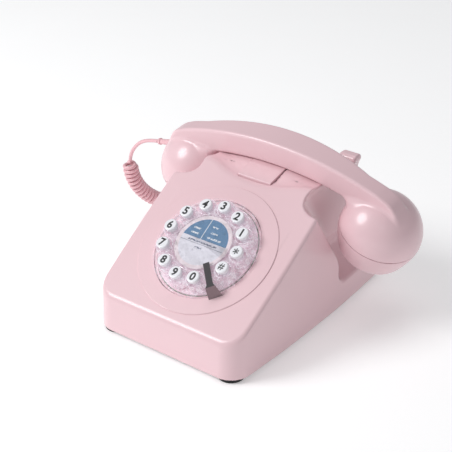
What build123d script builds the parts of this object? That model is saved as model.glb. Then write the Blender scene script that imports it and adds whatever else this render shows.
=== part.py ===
from build123d import *
from math import radians, degrees, sin, cos, tan, asin, sqrt
import os

# Desk telephone with a sloping face, a dial-styled ring of push buttons and a
# lift-off handset.  Millimetres.  Working axes: X to the right, Y to the back
# with 0 at the case's front edge, Z up with 0 under the feet.  Everything is
# moved to the bottom centre of the object's box when it is written.

# ---- case ----
FOOT_H = 3.3                  # feet stand out this far below the case
CASE_DEPTH = 208.0
SIDE_FRONT_X = 66.5           # half width at the front corners, foot of the wall
SIDE_MID_X = 70.0             # half width where the bowed side is widest
SIDE_REAR_X = 64.5            # half width at the rear corners
SIDE_MID_Y = 78.0
PLAN_CORNER_R = 16.0
WALL_DRAFT = 1.8              # degrees
WALL = 2.5
NOSE_H = 28.6                 # upright front wall
FACE_SLOPE = 32.7             # degrees
HORN_TIP_Y = 116.0            # where the sloping face ends at the front horns
HORN_TOP_FALL = 12.0          # degrees, horn tops fall towards the back
HORN_TOP_L = 21.0
VALLEY_DEPTH = 14.0           # cradle valley below the horn tips
REAR_EAR_Y = 176.0
REAR_EAR_L = 9.0
REAR_EAR_RISE = 4.5           # rear ears above the front horn tips
REAR_EAR_IN_X = 35.0
REAR_EAR_OUT_X = 50.0
REAR_LIP_DROP = 11.0          # rear wall between the ears, below the horn tips

# ---- scoops beside the neck, one for each ear cap ----
SCOOP_R = 50.0
SCOOP_X = 85.0
SCOOP_Z = 71.3
NECK_ARC_R = 21.5
NECK_ARC_X = 66.5
NECK_ARC_D = 139.0            # up the face from its front edge
SCOOP_STEP_Y = 131.5          # upright front edge of the low part
SCOOP_STEP_Z = 48.0

# ---- hand recess between the front horns ----
DIP_R = 140.0
DIP_D = 128.0                 # where the recess meets the face on the centre line
DIP_FALL = 8.0                # degrees
DIP_LEAD = 40.0               # recess starts this far in front of where it meets the face
DIP_EAR_GAP = 4.0             # and ends this far in front of the rear ears' slopes
REAR_EAR_RUN = 8.0            # length of the slope in front of each rear ear

# ---- saddle under the handle, behind the hand recess ----
SADDLE_FOOT_Y = 116.0
SADDLE_TOP_Y = 128.0
SADDLE_REAR_Y = 140.0
SADDLE_REAR_RUN = 6.0
SADDLE_GAP = 1.0              # below the handle's underside

# ---- dial ----
DIAL_D = 65.1                 # dial centre up the face from its front edge
BEZEL_R = 55.7
BEZEL_H = 0.8
BEZEL_T = 1.8                 # bezel's seat depth in the case
DIAL_R = 42.3
RIM_H = 4.8
PLATE_TOP_H = 10.0
PLATE_TOP_R = 37.6
PLATE_T = 1.6
KEY_RING_R = 31.2
KEY_R = 5.0
KEY_TOP_H = 13.5
KEY_CAP_T = 3.0
KEY_STEM_R = 3.3
KEY_TRAVEL = 2.0
KEY_FIRST_ANGLE = 30.4        # button 1, turned from +X towards up the face
KEY_STEP_ANGLE = 28.97
KEY_NAMES = ["hash", "star", "1", "2", "3", "4", "5", "6", "7", "8", "9", "0"]
STOP_ANGLE = 311.7
STOP_W = 4.8
STOP_FOOT_W = 10.8
STOP_T = 1.2
STOP_TIP_R = 20.5
STOP_BEND_R = 40.6
STOP_FOOT_R = 43.4
STOP_H = 10.8
LABEL_R = 22.8
LABEL_T = 0.4
COVER_T = 1.0
MAT_TOP_H = 0.4
MAT_T = 1.2
BOARD_T = 1.6
WELL_FLOOR_T = 2.0
FIT = 0.3                     # clearance round every loose or sliding piece

# ---- handset ----
HANDLE_R = 279.0              # handle's top edge is an arc
HANDLE_TOP_W = 25.0
HANDLE_LOW_W = 21.0
HANDLE_LOW_Y = 1.5
HANDLE_BOW = 5.6              # back edge draws in by this at 60 mm from the middle
HANDLE_BOW_X = 75.0           # and stays level beyond this
HANDLE_H = 20.4
HANDLE_Y = 126.7              # front top edge at its highest point
HANDLE_Z = 127.9
HANDSET_PITCH = 8.0           # degrees, lower parts lean to the back
HANDSET_SLIDE = 8.0           # handset lies this far to the right along its arc
BULB_X = 86.0
BULB_Y = 12.5
BULB_Z = -54.5
BULB_R = 32.2
BULB_TILT = 20.0              # degrees, caps face inwards
SHOULDER_X = 83.0
SHOULDER_Z = -38.0
SHOULDER_R = 25.0
CAP_H = 25.0
CAP_FACE_R = 17.0
CAP_GAP = 0.4
HANDSET_WALL = 2.4
CAPSULE_R = 22.0
CAPSULE_T = 7.0
CAP_HOLE_R = 1.4
CAP_HOLE_RING = 9.0
CAP_HOLES = 6

# ---- curly cord ----
LEAD_D = 3.2
LEAD_GAP = 0.5                # between the moving strain relief and the cord's own tube
CURL_D = 14.0
SLEEVE_L = 15.0
SLEEVE_R = 2.7
SLEEVE_RISE = 22.0            # degrees above the bulb's equator where it leaves
GLAND_X = -32.0
GLAND_Z = 14.0
GLAND_L = 9.0
GLAND_R = 4.2

# ---- base, inside ----
BASE_T = 2.2
FOOT_R = 10.0
FOOT_X = 54.0
FOOT_REAR_X = 51.0
FOOT_FRONT_Y = 12.5
FOOT_REAR_Y = 193.0
SCREW_R = 1.6
SCREW_HEAD_R = 3.0
HOOK_W = 30.0
HOOK_FRONT_Y = 112.5
HOOK_L = 24.0
HOOK_PROUD = 2.2
HOOK_T = 7.0
HOOK_GAP = 0.8                # below the handle's underside on its middle line
HOOK_PAD_Y = 129.0

SLOPE = radians(FACE_SLOPE)
NOSE_TOP_Z = FOOT_H + NOSE_H
HORN_TIP_Z = NOSE_TOP_Z + HORN_TIP_Y * tan(SLOPE)
KEYS = [(name, KEY_FIRST_ANGLE + KEY_STEP_ANGLE * (i - 2)) for i, name in enumerate(KEY_NAMES)]
EPS = 0.01


def face_point(d, h=0.0):
    """Y and Z of a point d up the sloping face and h above it."""
    return d * cos(SLOPE) - h * sin(SLOPE), NOSE_TOP_Z + d * sin(SLOPE) + h * cos(SLOPE)


def face_plane(d, h=0.0, x=0.0):
    """Plane lying on the sloping face, its Z away from the case."""
    y, z = face_point(d, h)
    return Plane(origin=(x, y, z), x_dir=(1, 0, 0), z_dir=(0, -sin(SLOPE), cos(SLOPE)))


DIAL = face_plane(DIAL_D)


def cylinder_between(a, b, radius):
    """Cylinder from point a to point b."""
    axis = Vector(*b) - Vector(*a)
    plane = Plane(origin=a, z_dir=axis)
    return extrude(plane * Circle(radius), axis.length)


def plan_body(inset, height):
    """Drafted block of the case's plan, inset on every wall."""
    front, rear = inset, CASE_DEPTH - inset
    sides = []
    for side in (1, -1):
        sides.append(ThreePointArc(
            (side * (SIDE_FRONT_X - inset), front),
            (side * (SIDE_MID_X - inset), SIDE_MID_Y),
            (side * (SIDE_REAR_X - inset), rear)))
    right, left = sides
    outline = make_face([right, Line(right @ 1, left @ 1), left, Line(left @ 0, right @ 0)])
    outline = fillet(outline.vertices(), PLAN_CORNER_R - inset)
    return extrude(Pos(0, 0, FOOT_H) * outline, height, taper=WALL_DRAFT)


def upper_profile(inset):
    """Side view of the case: nose, sloping face, horn tops, valley, ears and back."""
    horn_end_y = HORN_TIP_Y + HORN_TOP_L
    horn_end_z = HORN_TIP_Z - HORN_TOP_L * tan(radians(HORN_TOP_FALL))
    valley_z = HORN_TIP_Z - VALLEY_DEPTH
    ear_z = HORN_TIP_Z + REAR_EAR_RISE
    points = [
        (0, FOOT_H), (0, NOSE_TOP_Z), (HORN_TIP_Y, HORN_TIP_Z), (horn_end_y, horn_end_z),
        (horn_end_y + 9, valley_z), (REAR_EAR_Y - REAR_EAR_RUN, valley_z - 1), (REAR_EAR_Y, ear_z),
        (REAR_EAR_Y + REAR_EAR_L, ear_z), (CASE_DEPTH, FOOT_H)]
    outline = make_face(Polyline(*points, close=True))
    if inset:
        outline = offset(outline, -inset, kind=Kind.INTERSECTION)
        outline += Pos(CASE_DEPTH / 2, FOOT_H + inset / 2) * Rectangle(CASE_DEPTH, inset)
    return extrude(Plane.YZ * outline, 90, both=True)


def scoop(side, inset):
    """Space for one ear cap, open to the side, the top and the back."""
    reach = 140.0
    trough = cylinder_between((side * SCOOP_X, 60, SCOOP_Z),
                              (side * SCOOP_X, CASE_DEPTH + 20, SCOOP_Z), SCOOP_R + inset)
    y, z = face_point(NECK_ARC_D, 40)
    cut_plane = Plane(origin=(side * NECK_ARC_X, y, z), x_dir=(1, 0, 0), z_dir=(0, -sin(SLOPE), cos(SLOPE)))
    radius = NECK_ARC_R + inset
    disc = Circle(radius)
    behind = Pos(side * (reach / 2 - radius), reach / 2) * Rectangle(reach, reach)
    beside = Pos(side * reach / 2, reach / 2 - radius) * Rectangle(reach, reach)
    wall = extrude(cut_plane * (disc + behind + beside), -reach)
    low = Pos(side * NECK_ARC_X, SCOOP_STEP_Y - inset + 50, SCOOP_STEP_Z / 2) * Box(80, 100, SCOOP_STEP_Z)
    above = Pos(side * (REAR_EAR_OUT_X - inset + 50), CASE_DEPTH, SCOOP_Z + 50) * Box(100, 2 * CASE_DEPTH, 100)
    return (trough + above) & (wall + low)


def hand_recess(inset):
    """Shallow trough behind the face's upper edge, between the front horns."""
    y, z = face_point(DIP_D)
    fall = radians(DIP_FALL)
    radius = DIP_R + inset
    length = DIP_LEAD + (REAR_EAR_Y - REAR_EAR_RUN - DIP_EAR_GAP - y) / cos(fall)
    start = (0, y + DIP_R * sin(fall) - DIP_LEAD * cos(fall), z + DIP_R * cos(fall) + DIP_LEAD * sin(fall))
    end = (0, start[1] + length * cos(fall), start[2] - length * sin(fall))
    return cylinder_between(start, end, radius)


def rear_gap(inset):
    """Gap between the two rear ears."""
    top = HORN_TIP_Z + REAR_EAR_RISE + 10
    low = HORN_TIP_Z - REAR_LIP_DROP - inset
    return Pos(0, CASE_DEPTH - 30, (top + low) / 2) * Box(2 * (REAR_EAR_IN_X + inset), 90, top - low)


def case_body(inset):
    """Solid case outline, drawn in by inset on every wall."""
    body = (plan_body(inset, 130) & upper_profile(inset)) - hand_recess(inset) - rear_gap(inset)
    body += saddle(inset)
    for side in (1, -1):
        body -= scoop(side, inset)
    return body


def handle_space(drop):
    """Everything below the handle's arched underside, down by drop."""
    pitch = radians(HANDSET_PITCH)
    y, z = HANDLE_Y + HANDLE_R * sin(pitch), HANDLE_Z - HANDLE_R * cos(pitch)
    run_y, run_z = 80 * cos(pitch), 80 * sin(pitch)
    return cylinder_between((0, y - run_y, z - run_z), (0, y + run_y, z + run_z), HANDLE_R - HANDLE_H - drop)


def underside_z(y):
    """Height of the handle's underside on its middle line."""
    pitch = radians(HANDSET_PITCH)
    return HANDLE_Z - HANDLE_H * cos(pitch) + (y - HANDLE_Y - HANDLE_H * sin(pitch)) * tan(pitch)


def saddle(inset):
    """Rise behind the hand recess that the handle lies over."""
    foot_z = recess_floor_z(SADDLE_FOOT_Y)
    top_z = underside_z(SADDLE_TOP_Y) - SADDLE_GAP
    slope = (top_z - foot_z) / (SADDLE_TOP_Y - SADDLE_FOOT_Y)
    start_y, end_y = SADDLE_FOOT_Y - 18, SADDLE_TOP_Y + 6
    low_z, rear_z = foot_z - 20, HORN_TIP_Z - VALLEY_DEPTH
    high_z = foot_z + (end_y - SADDLE_FOOT_Y) * slope
    points = [(start_y, low_z), (start_y, foot_z - 18 * slope), (end_y, high_z), (SADDLE_REAR_Y, high_z),
              (SADDLE_REAR_Y + SADDLE_REAR_RUN, rear_z), (SADDLE_REAR_Y + SADDLE_REAR_RUN, low_z)]
    outline = make_face(Polyline(*points, close=True))
    if inset:
        outline = offset(outline, -inset, kind=Kind.INTERSECTION)
    return extrude(Plane.YZ * outline, REAR_EAR_OUT_X - inset, both=True) & handle_space(SADDLE_GAP + inset)


def dial_disc(radius, low, high):
    """Disc standing on the face at the dial's centre."""
    return extrude(DIAL.offset(low) * Circle(radius), high - low)


def key_plane(angle, h, radius=KEY_RING_R):
    """Plane at one place of the button ring, its X along the radius."""
    spot = DIAL.offset(h)
    return spot * Rot(0, 0, angle) * Pos(radius, 0, 0)


def hook_box(grow, low, high):
    """Upright block that fills the hook bar's slot."""
    mid = HOOK_FRONT_Y + HOOK_L / 2
    return Pos(0, mid, (low + high) / 2) * Box(HOOK_W + 2 * grow, HOOK_L + 2 * grow, high - low)


def case_shell():
    """Hollow moulded case with its dial seat, hook slot and rear holes."""
    body = case_body(0) - case_body(WALL)
    body -= dial_disc(BEZEL_R + FIT, -BEZEL_T, 20)
    body += dial_disc(BEZEL_R + 3, -BEZEL_T - WALL, -BEZEL_T) - hollow_guard()
    body -= dial_disc(DIAL_R + FIT, -40, 20)
    body -= hook_box(FIT, 80, 140)
    body -= cylinder_between((GLAND_X, CASE_DEPTH - 12, GLAND_Z), (GLAND_X, CASE_DEPTH + 5, GLAND_Z),
                             GLAND_R * 0.8)
    body -= Pos(22, CASE_DEPTH, GLAND_Z + 2) * Box(15 + 2 * FIT, 20, 12 + 2 * FIT)
    return body


def hollow_guard():
    """Everything outside the solid case outline."""
    return (Pos(0, 100, 80) * Box(300, 400, 300)) - case_body(EPS)


def base_plate():
    """Flat bottom cover inside the case's lower edge."""
    plate = plan_body(WALL + FIT, BASE_T)
    for x, y in foot_places():
        plate -= Pos(x, y, FOOT_H) * Cylinder(SCREW_R + 0.2, 20)
    return plate


def foot_places():
    """Centres of the four feet."""
    return [(s * x, y) for x, y in ((FOOT_X, FOOT_FRONT_Y), (FOOT_REAR_X, FOOT_REAR_Y)) for s in (1, -1)]


def rubber_feet():
    """Four feet with screw recesses."""
    feet = []
    for x, y in foot_places():
        foot = Pos(x, y, FOOT_H / 2) * Cylinder(FOOT_R, FOOT_H)
        foot = fillet(foot.edges().group_by(Axis.Z)[0], 0.8)
        foot -= Pos(x, y, 0) * Cylinder(SCREW_HEAD_R + FIT, 2 * 1.6)
        foot -= Pos(x, y, 0) * Cylinder(SCREW_R + 0.2, 20)
        feet.append(foot)
    return Compound(children=feet)


def base_screws():
    """Four screws up through the feet and the bottom cover."""
    screws = []
    for x, y in foot_places():
        head = Pos(x, y, 1.0) * Cylinder(SCREW_HEAD_R, 1.2)
        shank = Pos(x, y, 5.5) * Cylinder(SCREW_R, 9.0)
        slot = Pos(x, y, 0.5) * (Box(3.6, 0.8, 0.8) + Box(0.8, 3.6, 0.8))
        screws.append(head + shank - slot)
    return Compound(children=screws)


def bezel_ring():
    """Pink ring round the dial, let into the face."""
    ring = dial_disc(BEZEL_R, -BEZEL_T, BEZEL_H) - dial_disc(DIAL_R + FIT, -5, 5)
    rim = ring.edges().filter_by(GeomType.CIRCLE).sort_by(SortBy.RADIUS)[-2:]
    top = rim.sort_by(Axis((0, 0, 0), (0, -sin(SLOPE), cos(SLOPE))))[-1:]
    return fillet(top, 0.6)


def dial_well():
    """Round pan behind the face that carries the keypad."""
    outer = DIAL_R - FIT
    floor_h = MAT_TOP_H - MAT_T - BOARD_T - WELL_FLOOR_T
    pan = dial_disc(outer, floor_h, -0.6) - dial_disc(outer - 1.8, floor_h + WELL_FLOOR_T, 5)
    flange = dial_disc(DIAL_R + 5, floor_h - 1.5, floor_h) - dial_disc(outer - 6, -20, 5)
    return pan + flange


def keypad_board():
    """Round printed board on the pan's floor."""
    top = MAT_TOP_H - MAT_T
    return dial_disc(DIAL_R - FIT - 2.2, top - BOARD_T, top)


def keypad_mat():
    """Rubber mat with a low dome under each button."""
    mat = dial_disc(DIAL_R - FIT - 2.6, MAT_TOP_H - MAT_T, MAT_TOP_H)
    for name, angle in KEYS:
        dome = extrude(key_plane(angle, MAT_TOP_H) * Circle(2.4), 0.4)
        mat += dome
    return mat


def finger_plate():
    """Clear dial moulding: upright rim, sloping shoulder, flat top and twelve wells."""
    points = [(0, PLATE_TOP_H), (PLATE_TOP_R - 1, PLATE_TOP_H), (PLATE_TOP_R, PLATE_TOP_H - 1),
              (DIAL_R - 1.0, RIM_H), (DIAL_R, RIM_H - 1.0), (DIAL_R, 0), (DIAL_R - PLATE_T, 0),
              (DIAL_R - PLATE_T, RIM_H - 1.4), (PLATE_TOP_R - 1.6, PLATE_TOP_H - PLATE_T),
              (0, PLATE_TOP_H - PLATE_T)]
    section = make_face(Plane.XZ * Polyline(*points, close=True))
    plate = DIAL * revolve(section, Axis.Z)
    for name, angle in KEYS:
        well = extrude(key_plane(angle, PLATE_TOP_H - 5) * Circle(KEY_R + 1.6), 5.5)
        plate += well
    for name, angle in KEYS:
        plate -= extrude(key_plane(angle, 0) * Circle(KEY_R + FIT), 20)
    return plate - dial_disc(LABEL_R + FIT, PLATE_TOP_H - LABEL_T - COVER_T * 0.5, 20)


def label_card():
    """Printed disc under the centre cover."""
    low = PLATE_TOP_H - LABEL_T - COVER_T * 0.5
    return dial_disc(LABEL_R, low, low + LABEL_T)


def label_cover():
    """Clear disc over the label."""
    low = PLATE_TOP_H - COVER_T * 0.5
    cover = dial_disc(LABEL_R, low, low + COVER_T)
    top = cover.edges().sort_by(Axis((0, 0, 0), (0, -sin(SLOPE), cos(SLOPE))))[-1:]
    return fillet(top, 0.5)


def finger_stop():
    """Bent metal strip from the label over the dial's rim, widening to its foot on the bezel."""
    arm_in, arm_top = STOP_TIP_R, STOP_H + STOP_T
    profile = make_face(Polyline(
        (arm_in, arm_top), (arm_in, STOP_H), (STOP_BEND_R, STOP_H), (STOP_FOOT_R, BEZEL_H),
        (STOP_FOOT_R + STOP_T, BEZEL_H), (STOP_BEND_R + STOP_T, arm_top), close=True))
    plan = make_face(Polyline(
        (0, STOP_W / 2), (STOP_BEND_R - 1, STOP_W / 2), (STOP_FOOT_R + STOP_T, STOP_FOOT_W / 2),
        (STOP_FOOT_R + STOP_T, -STOP_FOOT_W / 2), (STOP_BEND_R - 1, -STOP_W / 2), (0, -STOP_W / 2), close=True))
    strip = extrude(Plane.XZ * profile, STOP_FOOT_W, both=True) & extrude(plan, 20)
    return DIAL * Rot(0, 0, STOP_ANGLE) * strip


def key(angle):
    """One button: round cap with a soft top edge, on a stem."""
    cap_low = KEY_TOP_H - KEY_CAP_T
    cap = Pos(0, 0, cap_low) * extrude(Circle(KEY_R), KEY_CAP_T)
    cap = fillet(cap.edges().group_by(Axis.Z)[-1], 0.9)
    stem_low = MAT_TOP_H + 0.4 + KEY_TRAVEL + FIT
    stem = Pos(0, 0, stem_low) * extrude(Circle(KEY_STEM_R), cap_low - stem_low)
    return DIAL * Rot(0, 0, angle) * Pos(KEY_RING_R, 0, 0) * (cap + stem)


def recess_floor_z(y):
    """Height of the hand recess on the centre line."""
    y0, z0 = face_point(DIP_D)
    return z0 - (y - y0) * tan(radians(DIP_FALL))


def hook_low_z():
    """Height of the hook bar's lower face."""
    return recess_floor_z(HOOK_FRONT_Y) + HOOK_PROUD - HOOK_T


def hook_bar():
    """Sprung plate in the saddle, pressed while the handset lies on it."""
    rear_y, low = HOOK_FRONT_Y + HOOK_L, hook_low_z()
    shoulder_z = underside_z(SADDLE_TOP_Y) - HOOK_GAP
    points = [(HOOK_FRONT_Y, low), (HOOK_FRONT_Y, low + HOOK_T), (SADDLE_TOP_Y, shoulder_z),
              (rear_y, underside_z(rear_y) - HOOK_GAP), (rear_y, low)]
    bar = extrude(Plane.YZ * make_face(Polyline(*points, close=True)), HOOK_W / 2, both=True)
    bar = fillet(bar.edges().filter_by(Axis.X).group_by(Axis.Y)[0].sort_by(Axis.Z)[-1:], 0.8)
    return bar + Pos(0, HOOK_PAD_Y, low - 9) * Box(6, 6, 18)


def hook_guide():
    """Guide block round the hook bar's stem."""
    low = hook_low_z()
    block = Pos(0, HOOK_PAD_Y, low - 20) * Box(14, 14, 10)
    arm = Pos(0, HOOK_PAD_Y, low - 26) * Box(60, 14, 2)
    hole = Pos(0, HOOK_PAD_Y, low - 20) * Box(6 + 2 * FIT, 6 + 2 * FIT, 40)
    return block + arm - hole


def hook_switch():
    """Micro switch below the guide."""
    low = hook_low_z()
    body = Pos(0, HOOK_PAD_Y, low - 33) * Box(20, 7, 10)
    return body + Pos(0, HOOK_PAD_Y, low - 27.7) * Box(3, 3, 1.0)


def hook_spring():
    """Coil spring's outer sleeve between bar and guide."""
    low = hook_low_z()
    height = 15.0
    ring = Cylinder(6.0, height) - Cylinder(5.0, height + 1)
    return Pos(0, HOOK_PAD_Y, low - height / 2) * ring


def main_board():
    """Electronics board on posts over the bottom cover."""
    low = FOOT_H + BASE_T + 5
    board = Pos(-15, 60, low + BOARD_T / 2) * Box(70, 50, BOARD_T)
    for x, y in ((-42, 42), (12, 42), (-42, 78), (12, 78)):
        board += Pos(x, y, low - 2.5) * Cylinder(2.5, 5)
    board += Pos(-30, 60, low + BOARD_T + 2) * Box(14, 14, 4)
    board += Pos(5, 66, low + BOARD_T + 4) * Cylinder(4, 8)
    return board


def ringer():
    """Round sounder in its cup, on the bottom cover."""
    low = FOOT_H + BASE_T
    cup = Pos(0, 150, low + 8) * Cylinder(25, 16)
    return fillet(cup.edges().group_by(Axis.Z)[-1], 3)


def ballast():
    """Steel plate that keeps the case steady."""
    low = FOOT_H + BASE_T
    return Pos(0, 108, low + 3) * Box(90, 26, 6)


def line_socket():
    """Wall-cord socket in the rear wall."""
    body = Pos(22, CASE_DEPTH - 10, GLAND_Z + 2) * Box(15, 14, 12)
    mouth = Pos(22, CASE_DEPTH - 6, GLAND_Z + 2) * Box(10, 12, 7)
    return body - mouth


def gland_mouth():
    """Outer end of the grommet, where the cord goes in."""
    return (GLAND_X, CASE_DEPTH - (GLAND_Z - FOOT_H) * REAR_WALL_LEAN + GLAND_L, GLAND_Z)


def cord_gland():
    """Flanged grommet where the handset cord enters the rear wall."""
    back = CASE_DEPTH - (GLAND_Z - FOOT_H) * REAR_WALL_LEAN
    stem = cylinder_between((GLAND_X, back - 6, GLAND_Z), (GLAND_X, back, GLAND_Z), GLAND_R * 0.8 - 0.05)
    collar = cylinder_between((GLAND_X, back + 1.1, GLAND_Z), (GLAND_X, back + 3, GLAND_Z), GLAND_R)
    neck = cylinder_between((GLAND_X, back - 1, GLAND_Z), gland_mouth(), LEAD_D / 2 + 1)
    return stem + collar + neck


REAR_WALL_LEAN = (CASE_DEPTH - REAR_EAR_Y - REAR_EAR_L) / (HORN_TIP_Z + REAR_EAR_RISE - FOOT_H)


# ---- handset ----
ARC_CENTRE = Pos(0, 0, -HANDLE_R)
HANDSET = (Pos(0, HANDLE_Y, HANDLE_Z) * ARC_CENTRE * Rot(0, degrees(HANDSET_SLIDE / HANDLE_R), 0)
           * Pos(0, 0, HANDLE_R) * Rot(HANDSET_PITCH, 0, 0))


def bulb(side):
    """Frame at one bulb's centre, Z up its own tilted axis."""
    return Pos(side * BULB_X, BULB_Y, BULB_Z) * Rot(0, side * BULB_TILT, 0)


def handle_plan(inset):
    """Block with the handle's bowed back edge."""
    x, back = HANDLE_BOW_X, HANDLE_TOP_W - inset
    end = back - HANDLE_BOW * (x / 60) ** 2
    bow = ThreePointArc((x, end), (0, back), (-x, end))
    rest = Polyline((-x, end), (-130, end), (-130, -30), (130, -30), (130, end), (x, end))
    return extrude(make_face([bow, rest]), 90, both=True)


def handset_body(inset):
    """Handle and both domes, drawn in by inset."""
    top, low = -inset, -HANDLE_H + inset
    outline = [(inset, top), (HANDLE_TOP_W - inset, top),
               (HANDLE_LOW_Y + HANDLE_LOW_W - inset, low), (HANDLE_LOW_Y + inset, low)]
    section = make_face(Plane.YZ * Polyline(*outline, close=True))
    section = fillet(section.vertices(), 2.2 if not inset else 1.0)
    half = degrees(asin((SHOULDER_X + SHOULDER_R) / HANDLE_R))
    axis = Axis((0, 0, -HANDLE_R), (0, 1, 0))
    handle = revolve(section.rotate(axis, -half), axis, 2 * half)
    ends = Pos(0, -20) * Rectangle(2 * SHOULDER_X, 60)
    for side in (1, -1):
        ends += Pos(side * SHOULDER_X, SHOULDER_Z) * Circle(SHOULDER_R - inset)
    body = handle & extrude(Plane.XZ * ends, 60, both=True) & handle_plan(inset)
    for side in (1, -1):
        lower = bulb(side) * Pos(0, 0, -50) * Box(140, 140, 100)
        body += bulb(side) * Sphere(BULB_R - inset)
        body -= lower
    return body


def handset_shell():
    """Hollow handle with two domes, open at the caps."""
    return HANDSET * (handset_body(0) - handset_body(HANDSET_WALL))


def cap_profile(inset):
    """Half section of a cap, its seam at height 0."""
    r, low = BULB_R - 0.2 - inset, -CAP_H + inset
    start = (CAP_FACE_R, low)
    rise = Spline((CAP_FACE_R, low), (r - 3.2, -CAP_H * 0.55 + inset * 0.5), (r, 0),
                  tangents=[(1, 0.05), (0.05, 1)])
    return make_face([Line((0, 0), (0, low)), Line((0, low), start), rise, Line((r, 0), (0, 0))])


def cap(side):
    """Screw-on ear or mouth cap with a ring of holes."""
    shell = revolve(Plane.XZ * cap_profile(0), Axis.Z)
    shell -= revolve(Plane.XZ * cap_profile(HANDSET_WALL), Axis.Z)
    shell -= Cylinder(CAP_HOLE_R, 200)
    for i in range(CAP_HOLES):
        shell -= Rot(0, 0, i * 360 / CAP_HOLES) * Pos(CAP_HOLE_RING, 0, 0) * Cylinder(CAP_HOLE_R, 200)
    return HANDSET * bulb(side) * Pos(0, 0, -CAP_GAP) * shell


def capsule(side):
    """Receiver or transmitter insert behind a cap's face."""
    disc = Pos(0, 0, -10) * Cylinder(CAPSULE_R, CAPSULE_T)
    disc += Pos(0, 0, -10 + CAPSULE_T / 2 + 1) * Cylinder(CAPSULE_R * 0.5, 2)
    return HANDSET * bulb(side) * disc


def sleeve_frame():
    """Frame on the left bulb where the cord leaves, Z outwards."""
    away = Plane(origin=(-BULB_X - BULB_R * cos(radians(SLEEVE_RISE)) + 1.5, BULB_Y,
                         BULB_Z + BULB_R * sin(radians(SLEEVE_RISE))),
                 x_dir=(0, 1, 0), z_dir=(-cos(radians(13)), 0, -sin(radians(13))))
    return away


def cord_sleeve():
    """Tapered strain relief on the handset's left end."""
    taper = loft([sleeve_frame() * Circle(SLEEVE_R), sleeve_frame().offset(SLEEVE_L) * Circle(LEAD_D / 2 + 0.5)])
    collar = extrude(sleeve_frame().offset(SLEEVE_L - 2.4) * Circle(SLEEVE_R + 0.1), 1.8)
    return HANDSET * (taper + collar - Pos(-BULB_X, BULB_Y, BULB_Z) * Sphere(BULB_R + 0.05))


# ---- curly cord ----
CORD_START = tuple((HANDSET * Pos(*sleeve_frame().offset(SLEEVE_L + LEAD_GAP).origin)).position)
LEAD_ROUTE = [CORD_START, (-137, 146.3, 85.0), (-149, 146.8, 77), (-157, 147.3, 65.5), (-158.5, 148, 51.7)]
CURL_ROUTE = [(-158.5, 148, 51.7), (-157.3, 151.4, 38.2), (-154.1, 160.1, 23.9), (-148, 173.8, 12.2),
              (-139.5, 188.6, 6.6), (-122.8, 208.5, 6.6), (-98.1, 221.6, 6.6), (-72, 230.5, 6.6)]
TAIL_ROUTE = [(-72, 230.5, 6.6), (-60, 235.5, 4.2), (-47.5, 238.5, 5.5), (-37, 235, 9.6),
              (-32, 226.5, 13.2), gland_mouth()]


def cord_tube(route, diameter):
    """Straight runs joined by tangent arcs, each as large as its two runs allow."""
    points = [Vector(*p) for p in route]
    runs = [b - a for a, b in zip(points, points[1:])]
    radii = []
    for run, following in zip(runs, runs[1:]):
        turn = radians(run.get_angle(following))
        radii.append(0.45 * min(run.length, following.length) / tan(turn / 2))
    path = FilletPolyline(*points, radius=radii)
    tube = sweep(Plane(origin=path @ 0, z_dir=path % 0) * Circle(diameter / 2), path)
    print("cord radii", [round(r, 1) for r in radii], "length", round(path.length, 1),
          "volume ratio", round(tube.volume / (3.14159265 * diameter ** 2 / 4 * path.length), 4))
    return tube


# ---- run ----
def export(name, shape, shift):
    """Write one node's STEP file in the object's own frame."""
    solids = [shift * solid for solid in shape.solids()]
    whole = solids[0] if len(solids) == 1 else Compound(solids)
    export_step(whole, f"parts/{name}.step")


def build_nodes():
    """All nodes by name, in working axes."""
    nodes = {
        "case_shell": case_shell(), "base_plate": base_plate(), "rubber_feet": rubber_feet(),
        "base_screws": base_screws(), "bezel_ring": bezel_ring(), "dial_well": dial_well(),
        "keypad_board": keypad_board(), "keypad_mat": keypad_mat(), "finger_plate": finger_plate(),
        "label_card": label_card(), "label_cover": label_cover(), "finger_stop": finger_stop(),
        "hook_bar": hook_bar(), "hook_guide": hook_guide(),
        "hook_switch": hook_switch(), "hook_spring": hook_spring(), "main_board": main_board(),
        "ringer": ringer(), "ballast": ballast(), "line_socket": line_socket(), "cord_gland": cord_gland(),
        "handset_shell": handset_shell(), "ear_cap": cap(1), "mouth_cap": cap(-1),
        "receiver_capsule": capsule(1), "transmitter_capsule": capsule(-1), "cord_sleeve": cord_sleeve(),
        "cord_lead": cord_tube(LEAD_ROUTE, LEAD_D), "cord_curl": cord_tube(CURL_ROUTE, CURL_D),
        "cord_tail": cord_tube(TAIL_ROUTE, LEAD_D)}
    for name, angle in KEYS:
        nodes[f"key_{name}"] = key(angle)
    return nodes


if __name__ == "__main__":
    os.makedirs("parts", exist_ok=True)
    nodes = build_nodes()
    boxes = [shape.bounding_box() for name, shape in nodes.items() if not name.startswith("cord_")]
    box = boxes[0]
    for other in boxes[1:]:
        box = box.add(other)
    shift = Pos(-(box.min.X + box.max.X) / 2, -(box.min.Y + box.max.Y) / 2, 0)
    print("cord starts at", CORD_START)
    print("origin at", (box.min.X + box.max.X) / 2, (box.min.Y + box.max.Y) / 2, "size", box.size, box.min.Z)
    for name, shape in nodes.items():
        export(name, shape, shift)
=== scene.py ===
"""Sloped-face desk telephone with a dial-styled ring of twelve push buttons and a lift-off handset.

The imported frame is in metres.  Sizes in the classes below are millimetres in the maker's working
axes: x to the right from the case's middle, y to the back from its front edge, z up from the feet.
"""

from dataclasses import dataclass, field
from enum import Enum
import logging
import math
from typing import Any, Callable, Sequence

import bpy
import numpy as np
from mathutils import Matrix, Vector


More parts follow.
